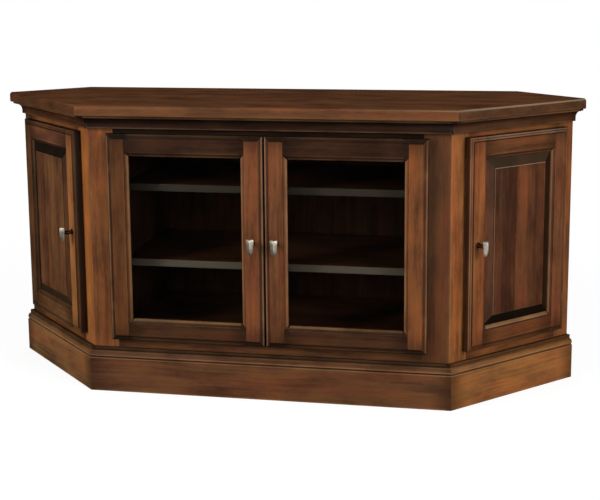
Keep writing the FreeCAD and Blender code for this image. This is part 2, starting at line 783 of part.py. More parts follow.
def make_knob(door):
    body = keep(new_body(f"{door.name}_knob"))
    back = "(knob_reach - knob_thick)"
    middle = f"({back} + knob_thick / 2)"
    levels = [
        ("knob_rise", "knob_end_wide", "knob_end_thick"),
        ("knob_shoulder", "knob_wide", "knob_thick"),
        ("-knob_waist", "knob_narrow", "knob_thick"),
        ("-knob_drop", "knob_end_narrow", "knob_end_thick"),
    ]
    sections = []
    for height, wide, thick in levels:
        sketch = new_sketch(body, "XY_Plane", height)
        half = f"{wide} / 2"
        rear = f"-({middle} - {thick} / 2)"
        ridge = f"-({middle} + {thick} / 2)"
        flank = f"{rear} - {thick} * knob_edge / knob_thick"
        outline(sketch, [(f"-{half}", rear), (f"-{half}", flank), ("0", ridge), (half, flank), (half, rear)])
        sections.append(sketch)
    doc.recompute()
    head = body.newObject("PartDesign::AdditiveLoft", f"{body.Name}_loft")
    head.Profile = sections[0]
    head.Sections = sections[1:]
    head.Ruled = True
    post = new_sketch(body, "XZ_Plane")
    ring(post, "0", "0", "post_radius")
    pad(body, post, middle)
    stud = new_sketch(body, "XZ_Plane")
    ring(stud, "0", "0", "stud_radius")
    pad(body, stud, "stud_length", reverse=True)
    x = f"{door.hinge} - {door.hand} * ({door.width} - door_stile / 2)"
    place(body, door.face, x, "-door_gap - door_thick", f"({DOOR_LOW} + {DOOR_HIGH}) / 2")


def make_doors():
    for door in DOORS:
        make_stile(door, "hinge")
        make_stile(door, "knob")
        make_rail(door, "top")
        make_rail(door, "bottom")
        if door.glazed:
            make_glass(door)
        else:
            make_panel(door)
        make_knob(door)


def make_hinges():
    cup, arm, screw = make_hinge_cup(), make_hinge_arm(), make_hinge_screw()
    doc.recompute()
    arm_spots = []
    screw_spots = []
    for door in DOORS:
        frame = doc.getObject(f"{door.name}_hinge_stile").Placement
        rises = [Z_AXIS * value(height) for height in HINGE_HEIGHTS]
        spots = [frame * FreeCAD.Placement(rise, FreeCAD.Rotation()) for rise in rises]
        copies(f"{door.name}_hinge_cups", cup, spots)
        arm_spots += spots
        for sign in (-1, 1):
            shift = FreeCAD.Vector(0, -value(PLATE_MIDDLE), sign * value("screw_spread / 2"))
            screw_spots += [spot * FreeCAD.Placement(shift, FreeCAD.Rotation()) for spot in spots]
    copies("hinge_arms", arm, arm_spots)
    copies("hinge_screws", screw, screw_spots)


# Build, check and write

make_top()
make_mouldings()
make_front_frame()
for side in SIDES:
    make_side_frame(side)
make_walls()
make_floor()
make_shelves()
make_doors()
make_hinges()
doc.recompute()

failed = [item.Label for item in doc.Objects if {"Invalid", "Error"} & set(item.State)]
failed += [piece.Label for piece in nodes if piece.Shape.isNull() or not piece.Shape.isValid()]
if failed:
    raise RuntimeError(f"not built: {failed}")

os.makedirs("parts", exist_ok=True)
for piece in nodes:
    piece.Shape.exportStep(f"parts/{piece.Label}.step")
print(len(nodes), "pieces written")
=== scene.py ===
import math
from dataclasses import dataclass

import bmesh
import bpy
from mathutils import Matrix, Quaternion, Vector


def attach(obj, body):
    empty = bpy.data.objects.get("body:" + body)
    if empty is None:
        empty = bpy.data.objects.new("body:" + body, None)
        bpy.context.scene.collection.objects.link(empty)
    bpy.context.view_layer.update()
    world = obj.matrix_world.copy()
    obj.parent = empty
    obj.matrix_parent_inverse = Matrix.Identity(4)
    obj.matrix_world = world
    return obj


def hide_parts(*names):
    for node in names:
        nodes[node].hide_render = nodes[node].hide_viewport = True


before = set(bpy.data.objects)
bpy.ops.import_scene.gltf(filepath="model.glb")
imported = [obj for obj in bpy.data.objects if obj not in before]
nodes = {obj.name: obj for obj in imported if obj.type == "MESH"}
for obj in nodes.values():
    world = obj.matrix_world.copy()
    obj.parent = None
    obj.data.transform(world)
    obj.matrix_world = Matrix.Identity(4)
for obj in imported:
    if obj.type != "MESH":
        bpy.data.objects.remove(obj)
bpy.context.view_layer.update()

# Corner television cabinet in stained maple: the imported boards keep their shape and get eased arrises and a
# burnished finish, with painted light and shade in its tones, glaze and lines, and the knobs are modelled
# again with rounded facets. Metres, Z up, front towards -Y.

scene = bpy.context.scene
MM = 0.001
UP, BACKWARDS = Vector((0, 0, 1)), Vector((0, 1, 0))

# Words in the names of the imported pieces, and their packed materials
UPRIGHT = ("stile", "raised_panel", "wall_panel", "partition", "back_panel")
LYING = ("top_board", "shelf_lower", "shelf_upper", "floor_panel")
DOORS = ("left_glass_door", "right_glass_door", "left_side_door", "right_side_door")
WOODS = ("stained_wood", "interior_wood")


# Nodes of the materials

# Colour sockets of the Mix node, which has several sockets of the same name
MIX_A, MIX_B, MIX_RESULT = 6, 7, 2
WHITE = (1, 1, 1, 1)
# Values between which most of a noise lies
NOISE = (0.3, 0.7)
RECESS_SAMPLES = 6


def colour(code):
    """Linear colour of an sRGB hex value."""
    shares = [int(code[i:i + 2], 16) / 255 for i in (0, 2, 4)]
    return (*(s / 12.92 if s <= 0.04045 else ((s + 0.055) / 1.055) ** 2.4 for s in shares), 1.0)


def look_up(table, name, plain=None):
    """Entry of the first words in a table that a name holds."""
    return next((entry for words, entry in table if words in name), plain)


def span(given, begin, end, low=0.0, high=1.0):
    """Inputs of a Map Range node that leads from one share to another between two values."""
    return {"Value": given, "From Min": begin, "From Max": end, "To Min": low, "To Max": high}


def greys(points):
    """Stops of a ramp from places and shares."""
    return [(place, (share, share, share, 1)) for place, share in points]


def line_stops(points):
    """Stops of a ramp from places, with the share of worn light in its red and of dark glaze in its green."""
    return [(place, (worn_and_highlit, glazed, 0, 1)) for place, worn_and_highlit, glazed in points]


def add(tree, kind, inputs=None, output=0, stops=None, **settings):
    """Add a node with its settings and ramp stops, set or link its inputs, and give one of its outputs."""
    node = tree.nodes.new(kind)
    for name, setting in settings.items():
        setattr(node, name, setting)
    for name, given in (inputs or {}).items():
        if isinstance(given, bpy.types.NodeSocket):
            tree.links.new(given, node.inputs[name])
        else:
            node.inputs[name].default_value = given
    if stops:
        ramp = node.color_ramp.elements
        ramp[0].position, ramp[-1].position = stops[0][0], stops[-1][0]
        for position, _ in stops[1:-1]:
            ramp.new(position)
        for element, (_, tone) in zip(ramp, stops):
            element.color = tone
    return node.outputs[output] if node.outputs else node


def new_material(name):
    material = bpy.data.materials.new(name)
    material.use_nodes = True
    material.node_tree.nodes.clear()
    return material, material.node_tree


# Boards and the figure of their grain

# Length at the ends of a door's stile or rail that the next board covers
STILE_JOINT, RAIL_JOINT = 52 * MM, 14 * MM
# Depth behind a board's foremost point that still counts as its front part
FRONT_DEPTH = 0.1 * MM
# Figure of maple: length along the grain, width across it, detail, roughness, and weight in the tone
GRAIN = {
    "bands": (800 * MM, 42 * MM, 3, 0.6, 0.7),
    "streaks": (240 * MM, 8 * MM, 4, 0.6, 0.6),
    "blotches": (110 * MM, 55 * MM, 3, 0.6, 0.8),
    "fibres": (24 * MM, 1.3 * MM, 2, 0.6, 0.4),
    "hues": (400 * MM, 30 * MM, 2, 0.5, 0.0),
}
BEND_LENGTH, BEND_REACH = 300 * MM, 26 * MM
SEED_STEP = Vector((1.37, 0.71, 0.43))
# Uneven rubbing, from the blotches of the grain
PATCHES = (0.36, 0.64, 0.45, 1.15)


@dataclass
class Board:
    """A piece of wood: the directions of its grain, width and front, its middle and its half sizes."""

    name: str
    along: Vector
    across: Vector
    outward: Vector
    points: list
    seed: int
    # Side of its width on which the door's opening lies, or 0 on a board without moulded rims
    inner: int

    def __post_init__(self):
        self.turn = Matrix((self.along, self.across, self.along.cross(self.across)))
        spread = [self.turn @ point for point in self.points]
        low = Vector(map(min, *spread))
        high = Vector(map(max, *spread))
        self.middle = (low + high) / 2
        self.half_length, self.half_width, _ = (high - low) / 2
        # Half sizes of the part that stands furthest out, such as a raised field
        front = max(point.dot(self.outward) for point in self.points)
        field = [self.turn @ point - self.middle for point in self.points
                 if point.dot(self.outward) > front - FRONT_DEPTH]
        self.field_length = max(point.x for point in field)
        self.field_width = max(point.y for point in field)


@dataclass
class Ground:
    """Node tree of a board's finish, with the sockets that its layers share."""

    board: Board
    tree: bpy.types.NodeTree

    def __post_init__(self):
        board, tree = self.board, self.tree
        where = add(tree, "ShaderNodeTexCoord", output="Object")
        place = add(tree, "ShaderNodeMapping",
                    {"Vector": where, "Rotation": board.turn.to_euler(), "Location": -board.middle})
        self.lengthwise = add(tree, "ShaderNodeSeparateXYZ", {"Vector": place}, output="X")
        self.sideways = add(tree, "ShaderNodeSeparateXYZ", {"Vector": place}, output="Y")
        self.from_middle = add(tree, "ShaderNodeMath", {0: self.lengthwise}, operation="ABSOLUTE")
        self.facing = add(tree, "ShaderNodeTexCoord", output="Normal")
        self.lean, self.sway, self.front = (
            add(tree, "ShaderNodeVectorMath", {0: self.facing, 1: way}, output="Value",
                operation="DOT_PRODUCT")
            for way in (board.along, board.across, board.outward)
        )
        joint = STILE_JOINT if "stile" in board.name else RAIL_JOINT
        self.free = add(tree, "ShaderNodeMath", {0: self.from_middle, 1: board.half_length - joint},
                        operation="LESS_THAN")
        self.figure = grain_figure(tree, place, board.seed)
        self.patchy = add(tree, "ShaderNodeMapRange", span(self.figure["blotches"], *PATCHES))


def grain_figure(tree, place, seed):
    """Noise for each part of the grain, bent a little and moved on by a board's seed."""
    seeded = add(tree, "ShaderNodeVectorMath", {0: place, 1: SEED_STEP * seed}, operation="ADD")
    bend = add(tree, "ShaderNodeTexNoise", {"Vector": seeded, "Scale": 1 / BEND_LENGTH, "Detail": 1.0},
               output="Color")
    bent = add(tree, "ShaderNodeVectorMath", {0: bend, 1: (0, BEND_REACH, BEND_REACH), 2: seeded},
               operation="MULTIPLY_ADD")
    figure = {}
    for part, (length, width, detail, rough, _) in GRAIN.items():
        drawn = add(tree, "ShaderNodeVectorMath", {0: bent, 1: (1 / length, 1 / width, 1 / width)},
                    operation="MULTIPLY")
        figure[part] = add(tree, "ShaderNodeTexNoise",
                           {"Vector": drawn, "Scale": 1.0, "Detail": detail, "Roughness": rough})
    return figure


# Stain

# Stain of each board, from the first words of the list that its name holds. The tones also hold painted light
# and shade:
# faces turned towards the lamps are paler, and boards in shade, such as the front rail and the cove's front
# under the top, darker
STAINS_AND_PAINTED_LIGHT = (
    ("glass_door_top_rail", "3c2417"),
    ("glass_door_bottom_rail", "462b1b"),
    ("left_glass_door_hinge_stile", "5c3820"),
    ("glass_door_hinge_stile", "744528"),
    ("glass_door_knob_stile", "71452b"),
    ("front_stile_left", "7c4b2b"),
    ("front_stile_right", "543320"),
    ("front_rail_bottom", "5e3a24"),
    ("front_rail", "20130a"),
    ("near_stile", "8c562e"),
    ("left_far_stile", "472d18"),
    ("left_side_door_raised_panel", "66422a"),
    ("left_side_door_top_rail", "633d2b"),
    ("left_side_door_bottom_rail", "664529"),
    ("left_side_door_hinge_stile", "573821"),
    ("right_side_door_raised_panel", "5e3822"),
    ("left_side_door", "8e5932"),
    ("right_side_door_top_rail", "623a20"),
    ("right_side_door_bottom_rail", "60391f"),
    ("right_side_door_hinge_stile", "6e4229"),
    ("right_side_door", "8a502b"),
    ("cove_front", "2e1b10"),
    ("cove", "4a2c1a"),
    ("top_board", "6e462d"),
    ("base_front", "5f3c27"),
    ("base_right", "885832"),
    ("base_left", "765133"),
    ("shelf", "674630"),
    ("wall_panel", "6c4a33"),
    ("back_panel", "52382a"),
    ("partition", "5c3f2c"),
    ("floor_panel", "674630"),
)
PLAIN_STAIN = "754626"
# Shares of the stain's red, green and blue from dark to pale grain
TONES = (
    (0.12, (0.36, 0.34, 0.36)),
    (0.36, (0.72, 0.7, 0.74)),
    (0.5, (1, 1, 1)),
    (0.68, (1.34, 1.26, 1.1)),
    (0.9, (1.65, 1.5, 1.2)),
)
# Tints that the stain drifts between, one reddish and one olive
HUES = ((0.32, (1.08, 0.92, 0.86, 1)), (0.68, (0.94, 1.06, 0.98, 1)))
# Staves that a raised panel is glued up from: shares of its width, and how much darker it is there
PANEL_STAVES = (
    ("right_side_door_raised_panel", (
        (0.0, 0.12), (0.12, 0.12),
        (0.15, 0.28), (0.44, 0.26),
        (0.47, 0), (0.61, 0),
        (0.64, 0.1), (0.73, 0.1),
        (0.76, 0),
    )),
    ("left_side_door_raised_panel", (
        (0.0, 0.1), (0.36, 0.1),
        (0.39, 0), (0.66, 0),
        (0.69, 0.06),
    )),
)


def stain(ground):
    """Brown stain in the tones of the grain, which drifts between red and olive; each board's tone also holds
    painted light and shade.
    """
    board, tree, figure = ground.board, ground.tree, ground.figure
    tone = 0.5 - sum(weight for *_, weight in GRAIN.values()) / 2
    for part, (*_, weight) in GRAIN.items():
        tone = add(tree, "ShaderNodeMath", {0: figure[part], 1: weight, 2: tone}, operation="MULTIPLY_ADD")
    staves = look_up(PANEL_STAVES, board.name)
    if staves:
        share = add(tree, "ShaderNodeMapRange", span(ground.sideways, -board.half_width, board.half_width))
        stave = add(tree, "ShaderNodeValToRGB", {"Fac": share}, stops=greys(staves))
        tone = add(tree, "ShaderNodeMath", {0: tone, 1: stave}, operation="SUBTRACT")
    mid = colour(look_up(STAINS_AND_PAINTED_LIGHT, board.name, PLAIN_STAIN))
    tones = [(place, (*(part * share for part, share in zip(mid, shares)), 1)) for place, shares in TONES]
    wood = add(tree, "ShaderNodeValToRGB", {"Fac": tone}, stops=tones)
    hue = add(tree, "ShaderNodeValToRGB", {"Fac": figure["hues"]}, stops=HUES)
    return add(tree, "ShaderNodeMix", {0: 1.0, MIX_A: wood, MIX_B: hue}, output=MIX_RESULT,
               data_type="RGBA", blend_type="MULTIPLY")


# Dark glaze, wiped on over the stain, and painted shade in the same dark tint; a layer gives shares and the
# tints that they lay over the wood

# Colour of the glaze, also used as painted shade, and an olive tint of the painted shade on some panel slopes
GLAZE_AND_SHADE, OLIVE = colour("100b05"), colour("302515")
RECESS_REACH, BURNISH_REACH = 9 * MM, 60 * MM
# Where the glaze begins and is full, and its share at both: by a face's lean along the grain, by how open
# a recess is (glaze and painted shade in recesses), and by how far a side of a door's frame faces to the
# front (painted shade)
END_GRAIN = (0.1, 0.5, 0, 1)
RECESS = (0.96, 0.55, 0, 0.95)
FRAME_SIDES = (0.5, 0.2, 0, 0.8)
# The same by how far a face looks up: darker on the base's faces that look up, and painted shade on the top
# board's edge, which looks less far up
FACING_UP_SHARES = (("base", (0.8, 0.95, 0, 0.85)), ("top_board", (0.6, 0.2, 0, 0.2)))
# Base's moulded cap: shares of a height down from its top, of worn light with painted highlights on its
# arrises and of dark glaze with painted shade in its hollows
CAP_DROP = 30 * MM
CAP_LINES = (
    (0.0, 0, 0.75), (0.29, 0, 0.75),
    (0.31, 0.35, 0), (0.36, 0.35, 0),
    (0.4, 0, 0.3), (0.58, 0, 0.25),
    (0.62, 0.4, 0), (0.72, 0.4, 0),
    (0.75, 0, 0.4), (0.86, 0, 0.4),
    (0.88, 0.35, 0), (0.94, 0.35, 0),
    (0.97, 0, 0),
)
# Glaze and painted shade on the slopes of a raised panel, darker on the slopes turned from the light: its
# colour and share, and the tilt at which it begins and is full
PANEL_SLOPE_SHADE = (
    ("left_side_door_raised_panel", {
        "top": (GLAZE_AND_SHADE, 0.9), "bottom": (OLIVE, 0.8), "left": (GLAZE_AND_SHADE, 0.9), "right": (GLAZE_AND_SHADE, 0.3),
    }),
    ("right_side_door_raised_panel", {
        "top": (OLIVE, 0.75), "bottom": (GLAZE_AND_SHADE, 0.95), "left": (GLAZE_AND_SHADE, 0.1), "right": (GLAZE_AND_SHADE, 0.85),
    }),
)
SLOPE_SHADE_TILT = (0.06, 0.2)


def cap_lines(ground):
    """Worn light with painted highlights, and dark glaze with painted shade, along the base's moulded cap."""
    tree, top = ground.tree, ground.board.half_width
    drop = add(tree, "ShaderNodeMapRange", span(ground.sideways, top, top - CAP_DROP))
    lines = add(tree, "ShaderNodeValToRGB", {"Fac": drop}, stops=line_stops(CAP_LINES))
    return [add(tree, "ShaderNodeSeparateColor", {"Color": lines}, output=part) for part in ("Red", "Green")]


def ends_and_recesses_darkened(ground):
    """Where any board is darkened: glaze in its end grain and towards its ends, and glaze with painted shade
    in recesses.
    """
    tree, blotches, end = ground.tree, ground.figure["blotches"], ground.board.half_length
    steep = add(tree, "ShaderNodeMath", {0: ground.lean}, operation="ABSOLUTE")
    end_grain = add(tree, "ShaderNodeMapRange", span(steep, *END_GRAIN))
    near_end = add(tree, "ShaderNodeMapRange", span(ground.from_middle, end - BURNISH_REACH, end),
                   interpolation_type="SMOOTHSTEP")
    shares = [add(tree, "ShaderNodeMath", {0: share, 1: blotches}, operation="MULTIPLY")
              for share in (end_grain, near_end)]
    # Painted shade with the glaze: darker in recesses, by how open they are
    recess = add(tree, "ShaderNodeAmbientOcclusion", {"Distance": RECESS_REACH}, output="AO",
                 only_local=True, samples=RECESS_SAMPLES)
    return [*shares, add(tree, "ShaderNodeMapRange", span(recess, *RECESS))]


def faces_darkened(ground):
    """Where some boards are darkened too: painted shade on the sides of a door's frame, darker faces by how
    far they look up, and the base cap's glaze and painted shade.
    """
    board, tree = ground.board, ground.tree
    shares = []
    if board.inner:
        # Painted shade on the sides of a door's frame, which look away from the front
        square_on = add(tree, "ShaderNodeMath", {0: ground.front}, operation="ABSOLUTE")
        shares.append(add(tree, "ShaderNodeMapRange", span(square_on, *FRAME_SIDES)))
    # Darker by how far a face looks up: on the base's ledges, and painted shade on the top board's edge
    facing_up = look_up(FACING_UP_SHARES, board.name)
    if facing_up:
        upward = add(tree, "ShaderNodeSeparateXYZ", {"Vector": ground.facing}, output="Z")
        shares.append(add(tree, "ShaderNodeMapRange", span(upward, *facing_up)))
    if board.name.startswith("base"):
        _, capped = cap_lines(ground)
        shares.append(capped)
    return shares


def glaze_and_painted_shade(ground):
    """Glaze left in the end grain and towards the ends, with painted shade in recesses, on the sides of a
    door's frame, on the top board's edge and in the base cap's hollows, and darker faces on the base that
    look up.
    """
    dark, *others = ends_and_recesses_darkened(ground) + faces_darkened(ground)
    for share in others:
        dark = add(ground.tree, "ShaderNodeMath", {0: dark, 1: share}, operation="MAXIMUM")
    yield dark, GLAZE_AND_SHADE


def slope_glaze_and_shade(ground):
    """Glaze and painted shade on the slopes round a raised field, darker on the slopes turned from the light.
    """
    lean, sway = ground.lean, ground.sway
    slopes = {"top": (lean, 1), "bottom": (lean, -1), "left": (sway, -1), "right": (sway, 1)}
    for slope, (tint, share) in look_up(PANEL_SLOPE_SHADE, ground.board.name, {}).items():
        tilt, way = slopes[slope]
        begin, full = (way * size for size in SLOPE_SHADE_TILT)
        yield add(ground.tree, "ShaderNodeMapRange", span(tilt, begin, full, high=share)), tint


# Wear, where the stain is rubbed through, with painted highlights on arrises, beads and the edges of the
# raised field and top board; these are layers too

# Pale tints of worn wood, also used as painted highlight
RUBBED_AND_HIGHLIGHT, BARE_AND_HIGHLIGHT = colour("95704c"), colour("87745c")
# Strength of the worn arrises, which also carry painted highlight, and how much wood lies behind a face where
# they begin and are full
ARRIS_WEAR_AND_HIGHLIGHT = (
    ("raised_panel", 0.4),
    ("door", 0.35),
    ("top_board", 0.35),
    ("base", 0.7),
    ("cove", 0.3),
    ("stile", 0.15),
)
ARRIS_REACH, ARRIS = 7 * MM, (0.85, 0.6)
# Raised field: insets at which its painted highlight line ends and is full, and its strength along the top
# and the left, the edges that face the light
FIELD_LINE = (3 * MM, 1.8 * MM)
FIELD_HIGHLIGHT = (("left_side_door_raised_panel", (0.15, 0.0)), ("right_side_door_raised_panel", (0.75, 0.4)))
FIELD_LEVEL = 0.995
# Way that the brightest part of the painted highlight on the top board's round edge faces, and shares of that
# highlight by nearness to it
TOP_HIGHLIGHT_WAY = Vector((0.5, -0.5, 0.7071))
TOP_HIGHLIGHT_SHARES = ((0.88, 0), (0.94, 0.3), (0.97, 0.95))


def worn_and_highlit_arrises(ground):
    """Arrises rubbed through and painted with highlight, in some places more than in others."""
    board, tree = ground.board, ground.tree
    wear_and_highlight = look_up(ARRIS_WEAR_AND_HIGHLIGHT, board.name)
    if not wear_and_highlight:
        return
    arris = add(tree, "ShaderNodeAmbientOcclusion", {"Distance": ARRIS_REACH}, output="AO",
                only_local=True, inside=True, samples=RECESS_SAMPLES)
    worn_and_highlit = add(tree, "ShaderNodeMapRange", span(arris, *ARRIS, high=wear_and_highlight))
    worn_and_highlit = add(tree, "ShaderNodeMath", {0: worn_and_highlit, 1: ground.free}, operation="MULTIPLY")
    if board.name.startswith("base"):
        line, capped = cap_lines(ground)
        clean = add(tree, "ShaderNodeMath", {0: 1.0, 1: capped}, operation="SUBTRACT")
        worn_and_highlit = add(tree, "ShaderNodeMath", {0: worn_and_highlit, 1: clean}, operation="MULTIPLY")
        worn_and_highlit = add(tree, "ShaderNodeMath", {0: worn_and_highlit, 1: line}, operation="MAXIMUM")
    yield add(tree, "ShaderNodeMath", {0: worn_and_highlit, 1: ground.patchy}, operation="MULTIPLY"), RUBBED_AND_HIGHLIGHT


def field_highlight_lines(ground):
    """Painted highlight lines along the top and left edges of a raised field, which face the light."""
    board, tree = ground.board, ground.tree
    wear_and_highlight = look_up(FIELD_HIGHLIGHT, board.name)
    if not wear_and_highlight:
        return
    lines = []
    for place, way, reach, share in zip((ground.lengthwise, ground.sideways), (-1, 1),
                                        (board.field_length, board.field_width), wear_and_highlight):
        inset = add(tree, "ShaderNodeMath", {0: place, 1: way, 2: reach}, operation="MULTIPLY_ADD")
        lines.append(add(tree, "ShaderNodeMapRange", span(inset, *FIELD_LINE, high=share)))
    line = add(tree, "ShaderNodeMath", {0: lines[0], 1: lines[1]}, operation="MAXIMUM")
    level_part = add(tree, "ShaderNodeMath", {0: ground.front, 1: FIELD_LEVEL}, operation="GREATER_THAN")
    yield add(tree, "ShaderNodeMath", {0: line, 1: level_part}, operation="MULTIPLY"), BARE_AND_HIGHLIGHT


def top_highlight(ground):
    """Painted highlight along the round edge of the top board, brightest where it faces right and up."""
    if ground.board.name == "top_board":
        toward_highlight = add(ground.tree, "ShaderNodeVectorMath", {0: ground.facing, 1: TOP_HIGHLIGHT_WAY}, output="Value",
                    operation="DOT_PRODUCT")
        yield add(ground.tree, "ShaderNodeValToRGB", {"Fac": toward_highlight}, stops=greys(TOP_HIGHLIGHT_SHARES)), BARE_AND_HIGHLIGHT


# Moulded rims of the doors' frames: shares of the reach in from an edge, of worn light with painted highlight
# on the beads, and of dark glaze with painted shade in the hollows

RIM_REACH, RIM_END = 14 * MM, 13 * MM
OUTER_RIM = (
    ("glass_door", (
        (0.0, 0, 0.9), (0.08, 0, 0.9),
        (0.13, 0.6, 0), (0.28, 0.6, 0),
        (0.36, 0.2, 0.2),
        (0.48, 0, 0.55), (0.75, 0, 0.4),
        (1.0, 0, 0),
    )),
    ("side_door", (
        (0.0, 0, 0.9), (0.06, 0, 0.9),
        (0.12, 0.65, 0), (0.32, 0.65, 0),
        (0.38, 0, 0.6), (0.46, 0, 0.6),
        (0.52, 0.6, 0), (0.74, 0.6, 0),
        (0.8, 0, 0.75), (0.94, 0, 0.75),
        (1.0, 0, 0),
    )),
)
INNER_RIM = (
    ("glass_door", (
        (0.0, 0.6, 0), (0.26, 0.6, 0),
        (0.38, 0, 0.25),
        (0.7, 0, 0),
    )),
    ("left_side_door", (
        (0.0, 0.3, 0.55), (0.24, 0.3, 0.55),
        (0.36, 0, 0.65), (0.56, 0, 0.45),
        (0.7, 0, 0),
    )),
    ("side_door_bottom_rail", (
        (0.0, 0.6, 0), (0.5, 0.6, 0),
        (0.6, 0, 0.7), (0.72, 0, 0.7),
        (0.84, 0, 0),
    )),
    ("side_door", (
        (0.0, 0.5, 0), (0.24, 0.5, 0),
        (0.36, 0, 0.65), (0.56, 0, 0.45),
        (0.7, 0, 0),
    )),
)
# How far those pale lines come out on each board's outer and inner rim, and painted shade with the glaze over
# the outer one
RIM_WEAR_AND_HIGHLIGHT = (
    ("glass_door_top_rail", (0.1, 0.55, 0.4)),
    ("glass_door_bottom_rail", (0.1, 0.6, 0.5)),
    ("left_glass_door_hinge_stile", (0.55, 0.7, 0.0)),
    ("left_glass_door_knob_stile", (0.8, 0.7, 0.0)),
    ("right_glass_door_knob_stile", (0.7, 0.55, 0.0)),
    ("right_glass_door_hinge_stile", (0.5, 0.9, 0.15)),
    ("left_side_door_top_rail", (0.1, 0.3, 0.35)),
    ("left_side_door_bottom_rail", (0.15, 0.4, 0.15)),
    ("left_side_door_hinge_stile", (0.2, 0.25, 0.2)),
    ("left_side_door_knob_stile", (0.2, 0.2, 0.7)),
    ("right_side_door_top_rail", (0.75, 0.2, 0.0)),
    ("right_side_door_bottom_rail", (0.0, 1.2, 0.3)),
    ("right_side_door_hinge_stile", (0.15, 0.6, 0.0)),
    ("right_side_door_knob_stile", (0.5, 0.2, 0.1)),
)
# Share of the dark lines of glaze and painted shade along a door's top and bottom, and of painted shade with
# the glaze over the ends of its stiles there
LEVEL_GLAZE_AND_SHADE = (("glass_door", 0.1), ("side_door", 1.0))
END_GLAZE_AND_SHADE = (("glass_door", 0.85), ("side_door", 0.0))
# How far a face looks to the front where the lines begin and are full
RIM_FRONT = (0.1, 0.4)


@dataclass
class Rims:
    """Sockets of a frame board's rims: the distances in from its edges, and the shares of wear with painted
    highlight and of glaze with painted shade.
    """

    outer: bpy.types.NodeSocket
    inner: bpy.types.NodeSocket
    # 1 nearer to the outer edge, and 1 where the outer rim runs along the door's top or bottom
    outside: bpy.types.NodeSocket
    on_level: bpy.types.NodeSocket
    wear_and_highlight: bpy.types.NodeSocket
    # Glaze and painted shade over the outer rim: a number on a rail
    glaze_and_shade: object


def level_shares(ground, on_level, wear_and_highlight, glaze_and_shade):
    """Wear with painted highlight, and glaze with painted shade, of a stile's outer rim, with those of its
    rails along the door's top and bottom.
    """
    tree = ground.tree
    door = next(door for door in DOORS if ground.board.name.startswith(door))
    low_wear_and_highlight, _, low_glaze_and_shade = look_up(RIM_WEAR_AND_HIGHLIGHT, f"{door}_bottom_rail")
    high_wear_and_highlight, _, high_glaze_and_shade = look_up(RIM_WEAR_AND_HIGHLIGHT, f"{door}_top_rail")
    upper = add(tree, "ShaderNodeMath", {0: ground.lengthwise, 1: 0.0}, operation="GREATER_THAN")
    shares = []
    for own, low, high in ((wear_and_highlight, low_wear_and_highlight, high_wear_and_highlight), (glaze_and_shade, low_glaze_and_shade, high_glaze_and_shade)):
        on_rail = add(tree, "ShaderNodeMapRange", span(upper, 0, 1, low, high))
        shares.append(add(tree, "ShaderNodeMapRange", span(on_level, 0, 1, own, on_rail)))
    return shares


def find_rims(ground):
    """Rims of a frame board: the next board covers the inner one's ends, and outer ones meet in mitres."""
    board, tree = ground.board, ground.tree
    outer, inner = (
        add(tree, "ShaderNodeMath", {0: ground.sideways, 1: side, 2: board.half_width},
            operation="MULTIPLY_ADD")
        for side in (board.inner, -board.inner)
    )
    covered = add(tree, "ShaderNodeMath", {0: 1.0, 1: ground.free}, operation="SUBTRACT")
    inner = add(tree, "ShaderNodeMath", {0: inner, 1: covered}, operation="ADD")
    outside = add(tree, "ShaderNodeMath", {0: outer, 1: inner}, operation="LESS_THAN")
    on_level = outside
    outer_wear_and_highlight, inner_wear_and_highlight, glaze_and_shade = look_up(RIM_WEAR_AND_HIGHLIGHT, board.name)
    if "stile" in board.name:
        end = add(tree, "ShaderNodeMath", {0: board.half_length, 1: ground.from_middle}, operation="SUBTRACT")
        on_level = add(tree, "ShaderNodeMath", {0: end, 1: outer}, operation="LESS_THAN")
        outer = add(tree, "ShaderNodeMath", {0: outer, 1: end}, operation="MINIMUM")
        outer_wear_and_highlight, glaze_and_shade = level_shares(ground, on_level, outer_wear_and_highlight, glaze_and_shade)
    wear_and_highlight = add(tree, "ShaderNodeMapRange", span(outside, 0, 1, inner_wear_and_highlight, outer_wear_and_highlight))
    return Rims(outer, inner, outside, on_level, wear_and_highlight, glaze_and_shade)


def rim_lines(ground, rims):
    """Worn light with painted highlight, and dark glaze with painted shade, along both rims, on the faces
    that look to the front.
    """
    tree, name = ground.tree, ground.board.name
    ramps = []
    for depth, table in ((rims.inner, INNER_RIM), (rims.outer, OUTER_RIM)):
        inset = add(tree, "ShaderNodeMapRange", span(depth, 0, RIM_REACH))
        ramps.append(add(tree, "ShaderNodeValToRGB", {"Fac": inset}, stops=line_stops(look_up(table, name))))
    lines = add(tree, "ShaderNodeMix", {0: rims.outside, MIX_A: ramps[0], MIX_B: ramps[1]}, output=MIX_RESULT,
                data_type="RGBA")
    shown = add(tree, "ShaderNodeMapRange", span(ground.front, *RIM_FRONT))
    glaze_and_shade = add(tree, "ShaderNodeMapRange", span(rims.on_level, 0, 1, 1, look_up(LEVEL_GLAZE_AND_SHADE, name)))
    found = []
    for part, share in (("Red", rims.wear_and_highlight), ("Green", glaze_and_shade)):
        line = add(tree, "ShaderNodeSeparateColor", {"Color": lines}, output=part)
        line = add(tree, "ShaderNodeMath", {0: line, 1: share}, operation="MULTIPLY")
        found.append(add(tree, "ShaderNodeMath", {0: line, 1: shown}, operation="MULTIPLY"))
    return found


